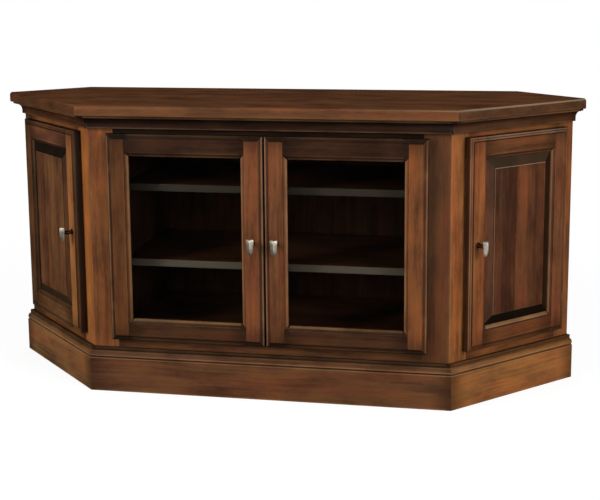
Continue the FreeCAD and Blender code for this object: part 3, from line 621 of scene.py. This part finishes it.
def rim_wear_and_painted_light(ground):
    """Beads along the rims of a door's frame, rubbed through and painted with highlight, with glaze and
    painted shade between them.
    """
    board, tree = ground.board, ground.tree
    if not board.inner:
        return
    rims = find_rims(ground)
    line, dark = rim_lines(ground, rims)
    worn_and_highlit = add(tree, "ShaderNodeMath", {0: line, 1: ground.patchy}, operation="MULTIPLY")
    pale_tint = add(tree, "ShaderNodeMix", {0: rims.outside, MIX_A: RUBBED_AND_HIGHLIGHT, MIX_B: BARE_AND_HIGHLIGHT}, output=MIX_RESULT,
               data_type="RGBA")
    yield worn_and_highlit, pale_tint
    # Painted shade with the glaze over the outer rim and, on a stile, over its ends
    rim = add(tree, "ShaderNodeMath", {0: rims.outer, 1: RIM_REACH}, operation="LESS_THAN")
    outer_dark = add(tree, "ShaderNodeMath", {0: rim, 1: rims.glaze_and_shade}, operation="MULTIPLY")
    dark = add(tree, "ShaderNodeMath", {0: outer_dark, 1: dark}, operation="MAXIMUM")
    if "stile" in board.name:
        end_rim = add(tree, "ShaderNodeMath", {0: rims.outer, 1: RIM_END}, operation="LESS_THAN")
        end_rim = add(tree, "ShaderNodeMath", {0: end_rim, 1: rims.on_level}, operation="MULTIPLY")
        end_rim = add(tree, "ShaderNodeMath", {0: end_rim, 1: look_up(END_GLAZE_AND_SHADE, board.name)},
                      operation="MULTIPLY")
        dark = add(tree, "ShaderNodeMath", {0: dark, 1: end_rim}, operation="MAXIMUM")
    yield dark, GLAZE_AND_SHADE


# Stained maple

# Grey band on the shelves' front edges: painted light on the lit edges, the upper shelf's darker as painted
# shade under the top
SHELF_EDGES = (("shelf_lower", "8f877b"), ("shelf_upper", "605a53"))
SHELF_FRONT = 0.7
LACQUER_ROUGH, LACQUER_SHINE = (0.4, 0.54), 0.1
FIBRE_RELIEF, FIBRE_DEPTH = 0.15, 0.3 * MM


def shelf_band(ground):
    """Grey band on a shelf's front edge, painted light, darker on the upper shelf as painted shade."""
    edge = look_up(SHELF_EDGES, ground.board.name)
    if edge:
        front = {0: ground.front, 1: SHELF_FRONT}
        yield add(ground.tree, "ShaderNodeMath", front, operation="GREATER_THAN"), colour(edge)


def stained_maple(board):
    """Maple board, planed, stained brown, wiped with a dark glaze and rubbed through on its arrises, with
    painted light and shade.

    The eye sees soft bands and streaks along the grain, cloudy stain that turns from olive to red, dark end
    grain, glaze and painted shade in recesses, and paler worn edges and beads with painted highlights under a
    satin lacquer.
    """
    material, tree = new_material(f"stained_maple_{board.name}")
    ground = Ground(board, tree)
    wood = stain(ground)
    for layer in (glaze_and_painted_shade, slope_glaze_and_shade, worn_and_highlit_arrises, field_highlight_lines, top_highlight, rim_wear_and_painted_light, shelf_band):
        for share, tint in layer(ground):
            wood = add(tree, "ShaderNodeMix", {0: share, MIX_A: wood, MIX_B: tint}, output=MIX_RESULT,
                       data_type="RGBA")
    rough = add(tree, "ShaderNodeMapRange", span(ground.figure["streaks"], *NOISE, *LACQUER_ROUGH))
    relief = add(tree, "ShaderNodeBump",
                 {"Height": ground.figure["fibres"], "Strength": FIBRE_RELIEF, "Distance": FIBRE_DEPTH})
    surface = add(tree, "ShaderNodeBsdfPrincipled", {
        "Base Color": wood, "Roughness": rough, "Normal": relief, "Specular IOR Level": LACQUER_SHINE,
    })
    add(tree, "ShaderNodeOutputMaterial", {"Surface": surface})
    return material


# Glass and metals

GLASS_TINT, GLASS_IOR = "f6f4f0", 1.3
FILM_SIZE, GLASS_ROUGH = 60 * MM, (0.01, 0.04)
CLOUD_SIZE, PEWTER_ROUGH, PEWTER_METAL = 5 * MM, (0.54, 0.46), 0.85
CLOUD_RELIEF, CLOUD_DEPTH = 0.2, 0.2 * MM
# Hollows in the pewter: their colour and reach, and how open they are where it begins and is full
HOLLOW_TINT, HOLLOW_REACH, HOLLOW = "3a372f", 6 * MM, (0.9, 0.4, 0, 0.8)
# Lines in rolled steel: their width and length
ROLLED_WIDTH, ROLLED_LENGTH, STEEL_ROUGH = 0.6 * MM, 15 * MM, (0.2, 0.32)


def smoked_glass():
    """Float glass with a faint smoke tint: clear enough for the shelves, dark where the inside is unlit."""
    material, tree = new_material("smoked_glass")
    where = add(tree, "ShaderNodeTexCoord", output="Object")
    film = add(tree, "ShaderNodeTexNoise", {"Vector": where, "Scale": 1 / FILM_SIZE, "Detail": 2.0})
    rough = add(tree, "ShaderNodeMapRange", span(film, *NOISE, *GLASS_ROUGH))
    clear = add(tree, "ShaderNodeBsdfTransparent", {"Color": colour(GLASS_TINT)})
    gloss = add(tree, "ShaderNodeBsdfGlossy", {"Color": WHITE, "Roughness": rough})
    share = add(tree, "ShaderNodeFresnel", {"IOR": GLASS_IOR})
    surface = add(tree, "ShaderNodeMixShader", {0: share, 1: clear, 2: gloss})
    add(tree, "ShaderNodeOutputMaterial", {"Surface": surface})
    return material


def pewter(name, low, high):
    """Cast pewter, tumbled: a soft grey metal, cloudy, with darker hollows and a dull shine on its facets."""
    material, tree = new_material(name)
    where = add(tree, "ShaderNodeTexCoord", output="Object")
    cloud = add(tree, "ShaderNodeTexNoise", {"Vector": where, "Scale": 1 / CLOUD_SIZE, "Detail": 3.0})
    tones = tuple(zip(NOISE, (colour(low), colour(high))))
    metal = add(tree, "ShaderNodeValToRGB", {"Fac": cloud}, stops=tones)
    recess = add(tree, "ShaderNodeAmbientOcclusion", {"Distance": HOLLOW_REACH}, output="AO",
                 only_local=True, samples=RECESS_SAMPLES)
    hollow = add(tree, "ShaderNodeMapRange", span(recess, *HOLLOW))
    metal = add(tree, "ShaderNodeMix", {0: hollow, MIX_A: metal, MIX_B: colour(HOLLOW_TINT)},
                output=MIX_RESULT, data_type="RGBA")
    rough = add(tree, "ShaderNodeMapRange", span(cloud, *NOISE, *PEWTER_ROUGH))
    relief = add(tree, "ShaderNodeBump", {"Height": cloud, "Strength": CLOUD_RELIEF, "Distance": CLOUD_DEPTH})
    surface = add(tree, "ShaderNodeBsdfPrincipled",
                  {"Base Color": metal, "Metallic": PEWTER_METAL, "Roughness": rough, "Normal": relief})
    add(tree, "ShaderNodeOutputMaterial", {"Surface": surface})
    return material


def plated_steel():
    """Pressed steel, nickel plated: bright grey, with faint lines from rolling."""
    material, tree = new_material("plated_steel")
    where = add(tree, "ShaderNodeTexCoord", output="Object")
    lines = add(tree, "ShaderNodeVectorMath",
                {0: where, 1: (1 / ROLLED_WIDTH, 1 / ROLLED_WIDTH, 1 / ROLLED_LENGTH)}, operation="MULTIPLY")
    rolled = add(tree, "ShaderNodeTexNoise", {"Vector": lines, "Scale": 1.0, "Detail": 2.0})
    tones = tuple(zip(NOISE, (colour("b9b8b4"), colour("d6d5d0"))))
    metal = add(tree, "ShaderNodeValToRGB", {"Fac": rolled}, stops=tones)
    rough = add(tree, "ShaderNodeMapRange", span(rolled, *NOISE, *STEEL_ROUGH))
    surface = add(tree, "ShaderNodeBsdfPrincipled",
                  {"Base Color": metal, "Metallic": 1.0, "Roughness": rough})
    add(tree, "ShaderNodeOutputMaterial", {"Surface": surface})
    return material


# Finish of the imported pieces

SIDE_TURNS = {"left": -45, "right": 45}
# Distance within which points are joined, then width, steps and least angle of the eased edges
JOINED, EASED, EASED_STEPS, EASED_ANGLE = 0.01 * MM, 0.5 * MM, 2, math.radians(40)


def face_turn(name):
    """Turn about Z, in degrees, of the cabinet's face that a piece belongs to."""
    for side, turn in SIDE_TURNS.items():
        starts = tuple(f"{side}_{word}" for word in ("near", "far", "rail", "side_door"))
        if name.startswith(starts) or name in (f"cove_{side}", f"base_{side}"):
            return turn
    return 0


def level(turn):
    """Direction along a face, level."""
    return Vector((math.cos(math.radians(turn)), math.sin(math.radians(turn)), 0))


def ease_edges(piece):
    """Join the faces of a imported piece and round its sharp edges."""
    weld = piece.modifiers.new("joined_faces", "WELD")
    weld.merge_threshold = JOINED
    bevel = piece.modifiers.new("eased_edges", "BEVEL")
    bevel.width = EASED
    bevel.segments = EASED_STEPS
    bevel.limit_method = "ANGLE"
    bevel.angle_limit = EASED_ANGLE
    bevel.harden_normals = True


def middle_of(points):
    return (Vector(map(min, *points)) + Vector(map(max, *points))) / 2


def points_of(name):
    return [vertex.co for vertex in nodes[name].data.vertices]


def rim_side(name, across):
    """Side of a door's frame board on which its opening lies."""
    door = next((door for door in DOORS if name.startswith(door)), None)
    if not door or not name.endswith(("stile", "rail")):
        return 0
    filling = "glass" if "glass" in door else "raised_panel"
    inwards = middle_of(points_of(f"{door}_{filling}")) - middle_of(points_of(name))
    return int(math.copysign(1, inwards.dot(across)))


def finish_boards():
    """Give each wooden piece its own maple, with the grain along its length, and ease its edges."""
    for seed, (name, piece) in enumerate(sorted(nodes.items())):
        if piece.data.materials[0].name not in WOODS:
            continue
        side = level(face_turn(name))
        along, across = (UP, side) if any(word in name for word in UPRIGHT) else (side, UP)
        if name in LYING:
            across = BACKWARDS
        board = Board(name, along, across, side.cross(UP), points_of(name), seed, rim_side(name, across))
        piece.material_slots[0].material = stained_maple(board)
        # Bead strips touch at their ends, so joining their faces would tear them
        if not name.endswith("glass_beads"):
            ease_edges(piece)


def finish_fittings():
    """Give the glass and the steel fittings their materials."""
    finishes = {"tinted_glass": smoked_glass(), "plated_steel": plated_steel()}
    for piece in nodes.values():
        kind = piece.data.materials[0].name
        if kind in finishes:
            piece.material_slots[0].material = finishes[kind]


# Knobs, in a frame with x along the door, y into it from its front face and z up from the post

# Reach of a knob out from its door, rise of its head above the post, and the door's distance to its back
KNOB_REACH, KNOB_RISE, HEAD_BACK = 36 * MM, 16 * MM, 26 * MM
# Height from the post, width and thickness of the head
HEAD_LEVELS = (
    (-24 * MM, 8.5 * MM, 2 * MM),
    (-22 * MM, 11.5 * MM, 3.8 * MM),
    (-17 * MM, 13.5 * MM, 6.5 * MM),
    (-8 * MM, 16 * MM, 9.2 * MM),
    (4 * MM, 18.5 * MM, 10 * MM),
    (11 * MM, 20 * MM, 9.6 * MM),
    (14.5 * MM, 18.5 * MM, 7.5 * MM),
    (16 * MM, 15.5 * MM, 4.5 * MM),
)
# Share of the head's thickness on its flanks, beside the ridge
FLANK_SHARE = 0.25
HEAD_ROUND, HEAD_STEPS, HEAD_SHARP = 1.2 * MM, 3, math.radians(24)
# Length under which an edge is left over from rounding
STRAY_EDGE = 0.02 * MM
# Radius of the post and distance out from the door
POST = (
    (7 * MM, 0),
    (7 * MM, 2 * MM),
    (5.2 * MM, 3.5 * MM),
    (4.6 * MM, 10 * MM),
    (5.8 * MM, 11.5 * MM),
    (5.8 * MM, 14 * MM),
    (4.6 * MM, 15.5 * MM),
    (5.2 * MM, 27 * MM),
)
POST_STEPS = 32
HEAD_SLOT, POST_SLOT = 0, 1


def head_loop(shape, height, wide, thick):
    """Five-sided section of the head at one height."""
    back = -HEAD_BACK
    flank = back - thick * FLANK_SHARE
    corners = ((-wide / 2, back), (wide / 2, back), (wide / 2, flank), (0, back - thick), (-wide / 2, flank))
    return [shape.verts.new((x, y, height)) for x, y in corners]


def add_head(shape):
    """Shield-shaped head with a ridge down its middle and rounded edges."""
    loops = [head_loop(shape, *one) for one in HEAD_LEVELS]
    rings = []
    for loop in loops:
        rings += [shape.edges.new((a, b)) for a, b in zip(loop, loop[1:] + loop[:1])]
    bmesh.ops.bridge_loops(shape, edges=rings)
    for loop in (loops[0], loops[-1]):
        shape.faces.new(loop)
    bmesh.ops.recalc_face_normals(shape, faces=shape.faces)
    sharp = [edge for edge in shape.edges if edge.calc_face_angle(0) > HEAD_SHARP]
    bmesh.ops.bevel(shape, geom=sharp, offset=HEAD_ROUND, segments=HEAD_STEPS, profile=0.5, affect="EDGES",
                    material=-1, clamp_overlap=True)
    bmesh.ops.dissolve_degenerate(shape, dist=STRAY_EDGE, edges=shape.edges)
    for face in shape.faces:
        face.material_index = HEAD_SLOT


def add_post(shape):
    """Turned post with a foot and a collar, closed at both ends."""
    head_faces = list(shape.faces)
    line = [shape.verts.new((radius, -out, 0)) for radius, out in POST]
    edges = [shape.edges.new(pair) for pair in zip(line, line[1:])]
    bmesh.ops.spin(shape, geom=line + edges, axis=(0, 1, 0), cent=(0, 0, 0), angle=math.tau,
                   steps=POST_STEPS, use_merge=True)
    ends = [edge for edge in shape.edges if edge.is_boundary]
    bmesh.ops.holes_fill(shape, edges=ends, sides=POST_STEPS)
    for face in set(shape.faces).difference(head_faces):
        face.material_index = POST_SLOT


def knob_mesh():
    shape = bmesh.new()
    add_head(shape)
    add_post(shape)
    bmesh.ops.recalc_face_normals(shape, faces=shape.faces)
    mesh = bpy.data.meshes.new("knob")
    shape.to_mesh(mesh)
    shape.free()
    mesh.shade_smooth()
    return mesh


def make_knobs():
    """One knob on each door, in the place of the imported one."""
    head = pewter("pewter", "898472", "beb4a2")
    # Darker pewter on the posts
    post = pewter("blackened_pewter", "241a12", "3c3026")
    pattern = knob_mesh()
    for door in DOORS:
        turn = Matrix.Rotation(math.radians(face_turn(door)), 4, "Z")
        spread = [turn.inverted() @ point for point in points_of(f"{door}_knob")]
        low = Vector(map(min, *spread))
        high = Vector(map(max, *spread))
        foot = Vector(((low.x + high.x) / 2, low.y + KNOB_REACH, high.z - KNOB_RISE))
        mesh = pattern.copy()
        mesh.transform(turn @ Matrix.Translation(foot))
        mesh.materials.append(head)
        mesh.materials.append(post)
        piece = bpy.data.objects.new(f"{door}_pewter_knob", mesh)
        scene.collection.objects.link(piece)
        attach(piece, door)
        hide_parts(f"{door}_knob")
    bpy.data.meshes.remove(pattern)


# Studio

AMBIENT = 0.25
FLOOR_SIZE = 40.0
# Floor: tone that lights the cabinet, tone and glow that the camera sees, and where it turns plain white
FLOOR_MATT, FLOOR_SHADED, FLOOR_GLOW, FLOOR_FADE = "b0b0b0", "808080", 0.86, (1.0, 2.5)
FLAG_TONE, FLAG_SIZE, FLAG_LIFT = "202020", (14.0, 14.0, 6.0), 0.5 * MM
CARD_SIZE, CARD_PLACE, CARD_GLOW = 2.0, (1.6, -1.6, 1 * MM), 2.2
HIDDEN_RAYS = ("camera", "diffuse", "transmission", "volume_scatter", "shadow")
# Softboxes: place, what they point at, width, height and power
SOFTBOXES = {
    "left_softbox": ((-3.6, -3.0, 2.1), (-0.2, 0, 0.4), 2.4, 2.4, 150),
    "right_softbox": ((3.8, -2.6, 2.1), (0.3, 0, 0.4), 2.4, 2.4, 160),
    "low_back_softbox": ((0.0, 3.6, 0.35), (0, 0, 0.35), 2.4, 0.6, 60),
}


def seen_rays(tree):
    """1 for rays from the camera and for rays that a mirror or clear surface sends on."""
    paths = [add(tree, "ShaderNodeLightPath", output=f"Is {kind} Ray")
             for kind in ("Camera", "Glossy", "Transmission")]
    seen = add(tree, "ShaderNodeMath", {0: paths[0], 1: paths[1]}, operation="MAXIMUM")
    return add(tree, "ShaderNodeMath", {0: seen, 1: paths[2]}, operation="MAXIMUM")


def stage_piece(name, shape, material, hidden=()):
    """Put a shape on the stage, kept from the kinds of rays that are named."""
    mesh = bpy.data.meshes.new(name)
    shape.to_mesh(mesh)
    shape.free()
    mesh.materials.append(material)
    piece = bpy.data.objects.new(name, mesh)
    scene.collection.objects.link(piece)
    for ray in hidden:
        setattr(piece, f"visible_{ray}", False)


def make_backdrop():
    """White all round, which lights the cabinet only softly."""
    world = bpy.data.worlds.new("studio")
    scene.world = world
    world.use_nodes = True
    tree = world.node_tree
    tree.nodes.clear()
    soft = add(tree, "ShaderNodeBackground", {"Color": WHITE, "Strength": AMBIENT})
    white = add(tree, "ShaderNodeBackground", {"Color": WHITE, "Strength": 1.0})
    sky = add(tree, "ShaderNodeMixShader", {0: seen_rays(tree), 1: soft, 2: white})
    add(tree, "ShaderNodeOutputWorld", {"Surface": sky})


def make_floor():
    """Pale floor, painted matt: nearly white, with a faint shadow round the base."""
    material, tree = new_material("pale_floor")
    where = add(tree, "ShaderNodeTexCoord", output="Object")
    apart = add(tree, "ShaderNodeVectorMath", {0: where}, output="Value", operation="LENGTH")
    far = add(tree, "ShaderNodeMapRange", span(apart, *FLOOR_FADE))
    matt = add(tree, "ShaderNodeBsdfDiffuse", {"Color": colour(FLOOR_MATT)})
    shaded = add(tree, "ShaderNodeBsdfDiffuse", {"Color": colour(FLOOR_SHADED)})
    glow = add(tree, "ShaderNodeEmission", {"Color": WHITE, "Strength": FLOOR_GLOW})
    lit = add(tree, "ShaderNodeAddShader", {0: shaded, 1: glow})
    white = add(tree, "ShaderNodeEmission", {"Color": WHITE, "Strength": 1.0})
    seen = add(tree, "ShaderNodeMixShader", {0: far, 1: lit, 2: white})
    surface = add(tree, "ShaderNodeMixShader", {0: seen_rays(tree), 1: matt, 2: seen})
    add(tree, "ShaderNodeOutputMaterial", {"Surface": surface})
    shape = bmesh.new()
    bmesh.ops.create_grid(shape, x_segments=1, y_segments=1, size=FLOOR_SIZE / 2)
    stage_piece("floor", shape, material)


def make_flags():
    """Black velvet round the set, which only mirror rays see, keeps the white from hazing the lacquer."""
    material, tree = new_material("black_velvet")
    cloth = add(tree, "ShaderNodeBsdfDiffuse", {"Color": colour(FLAG_TONE)})
    add(tree, "ShaderNodeOutputMaterial", {"Surface": cloth})
    shape = bmesh.new()
    bmesh.ops.create_cube(shape, size=1.0)
    bmesh.ops.scale(shape, verts=shape.verts, vec=FLAG_SIZE)
    bmesh.ops.translate(shape, verts=shape.verts, vec=(0, 0, FLAG_SIZE[2] / 2 + FLAG_LIFT))
    stage_piece("flags", shape, material, HIDDEN_RAYS)


def make_card():
    """White card on the velvet, right of the camera, gives the knobs' metal something bright to mirror."""
    material, tree = new_material("white_card")
    card = add(tree, "ShaderNodeEmission", {"Color": WHITE, "Strength": CARD_GLOW})
    add(tree, "ShaderNodeOutputMaterial", {"Surface": card})
    shape = bmesh.new()
    bmesh.ops.create_grid(shape, x_segments=1, y_segments=1, size=CARD_SIZE / 2)
    bmesh.ops.translate(shape, verts=shape.verts, vec=CARD_PLACE)
    stage_piece("card", shape, material, HIDDEN_RAYS)


def make_softboxes():
    for name, (place, aim, width, height, power) in SOFTBOXES.items():
        lamp = bpy.data.lights.new(name, "AREA")
        lamp.shape = "RECTANGLE"
        lamp.size, lamp.size_y, lamp.energy = width, height, power
        box = bpy.data.objects.new(name, lamp)
        box.location = place
        box.rotation_mode = "QUATERNION"
        box.rotation_quaternion = (Vector(aim) - Vector(place)).to_track_quat("-Z", "Y")
        scene.collection.objects.link(box)


# Camera at the photograph's viewpoint, for a frame of 600 by 500 pixels

CAMERA_PLACE = Vector((0.6155, -3.0254, 1.0833))
# Degrees to the left, down and about the line of sight
CAMERA_TURN, CAMERA_DIP, CAMERA_ROLL = 10.51, 9.0, -0.44
CAMERA_SENSOR, CAMERA_LENS, CAMERA_RISE = 36, 69.83, -0.15


def make_camera():
    lens = bpy.data.cameras.new("camera")
    lens.sensor_width = CAMERA_SENSOR
    lens.lens = CAMERA_LENS
    lens.shift_y = CAMERA_RISE
    camera = bpy.data.objects.new("camera", lens)
    turn, dip, roll = map(math.radians, (CAMERA_TURN, CAMERA_DIP, CAMERA_ROLL))
    ahead = Vector((-math.sin(turn) * math.cos(dip), math.cos(turn) * math.cos(dip), -math.sin(dip)))
    camera.location = CAMERA_PLACE
    camera.rotation_mode = "QUATERNION"
    camera.rotation_quaternion = ahead.to_track_quat("-Z", "Y") @ Quaternion(UP, roll)
    scene.collection.objects.link(camera)
    scene.camera = camera


make_camera()
make_backdrop()
make_floor()
make_flags()
make_card()
make_softboxes()
finish_boards()
finish_fittings()
make_knobs()
scene.view_settings.view_transform = "Standard"
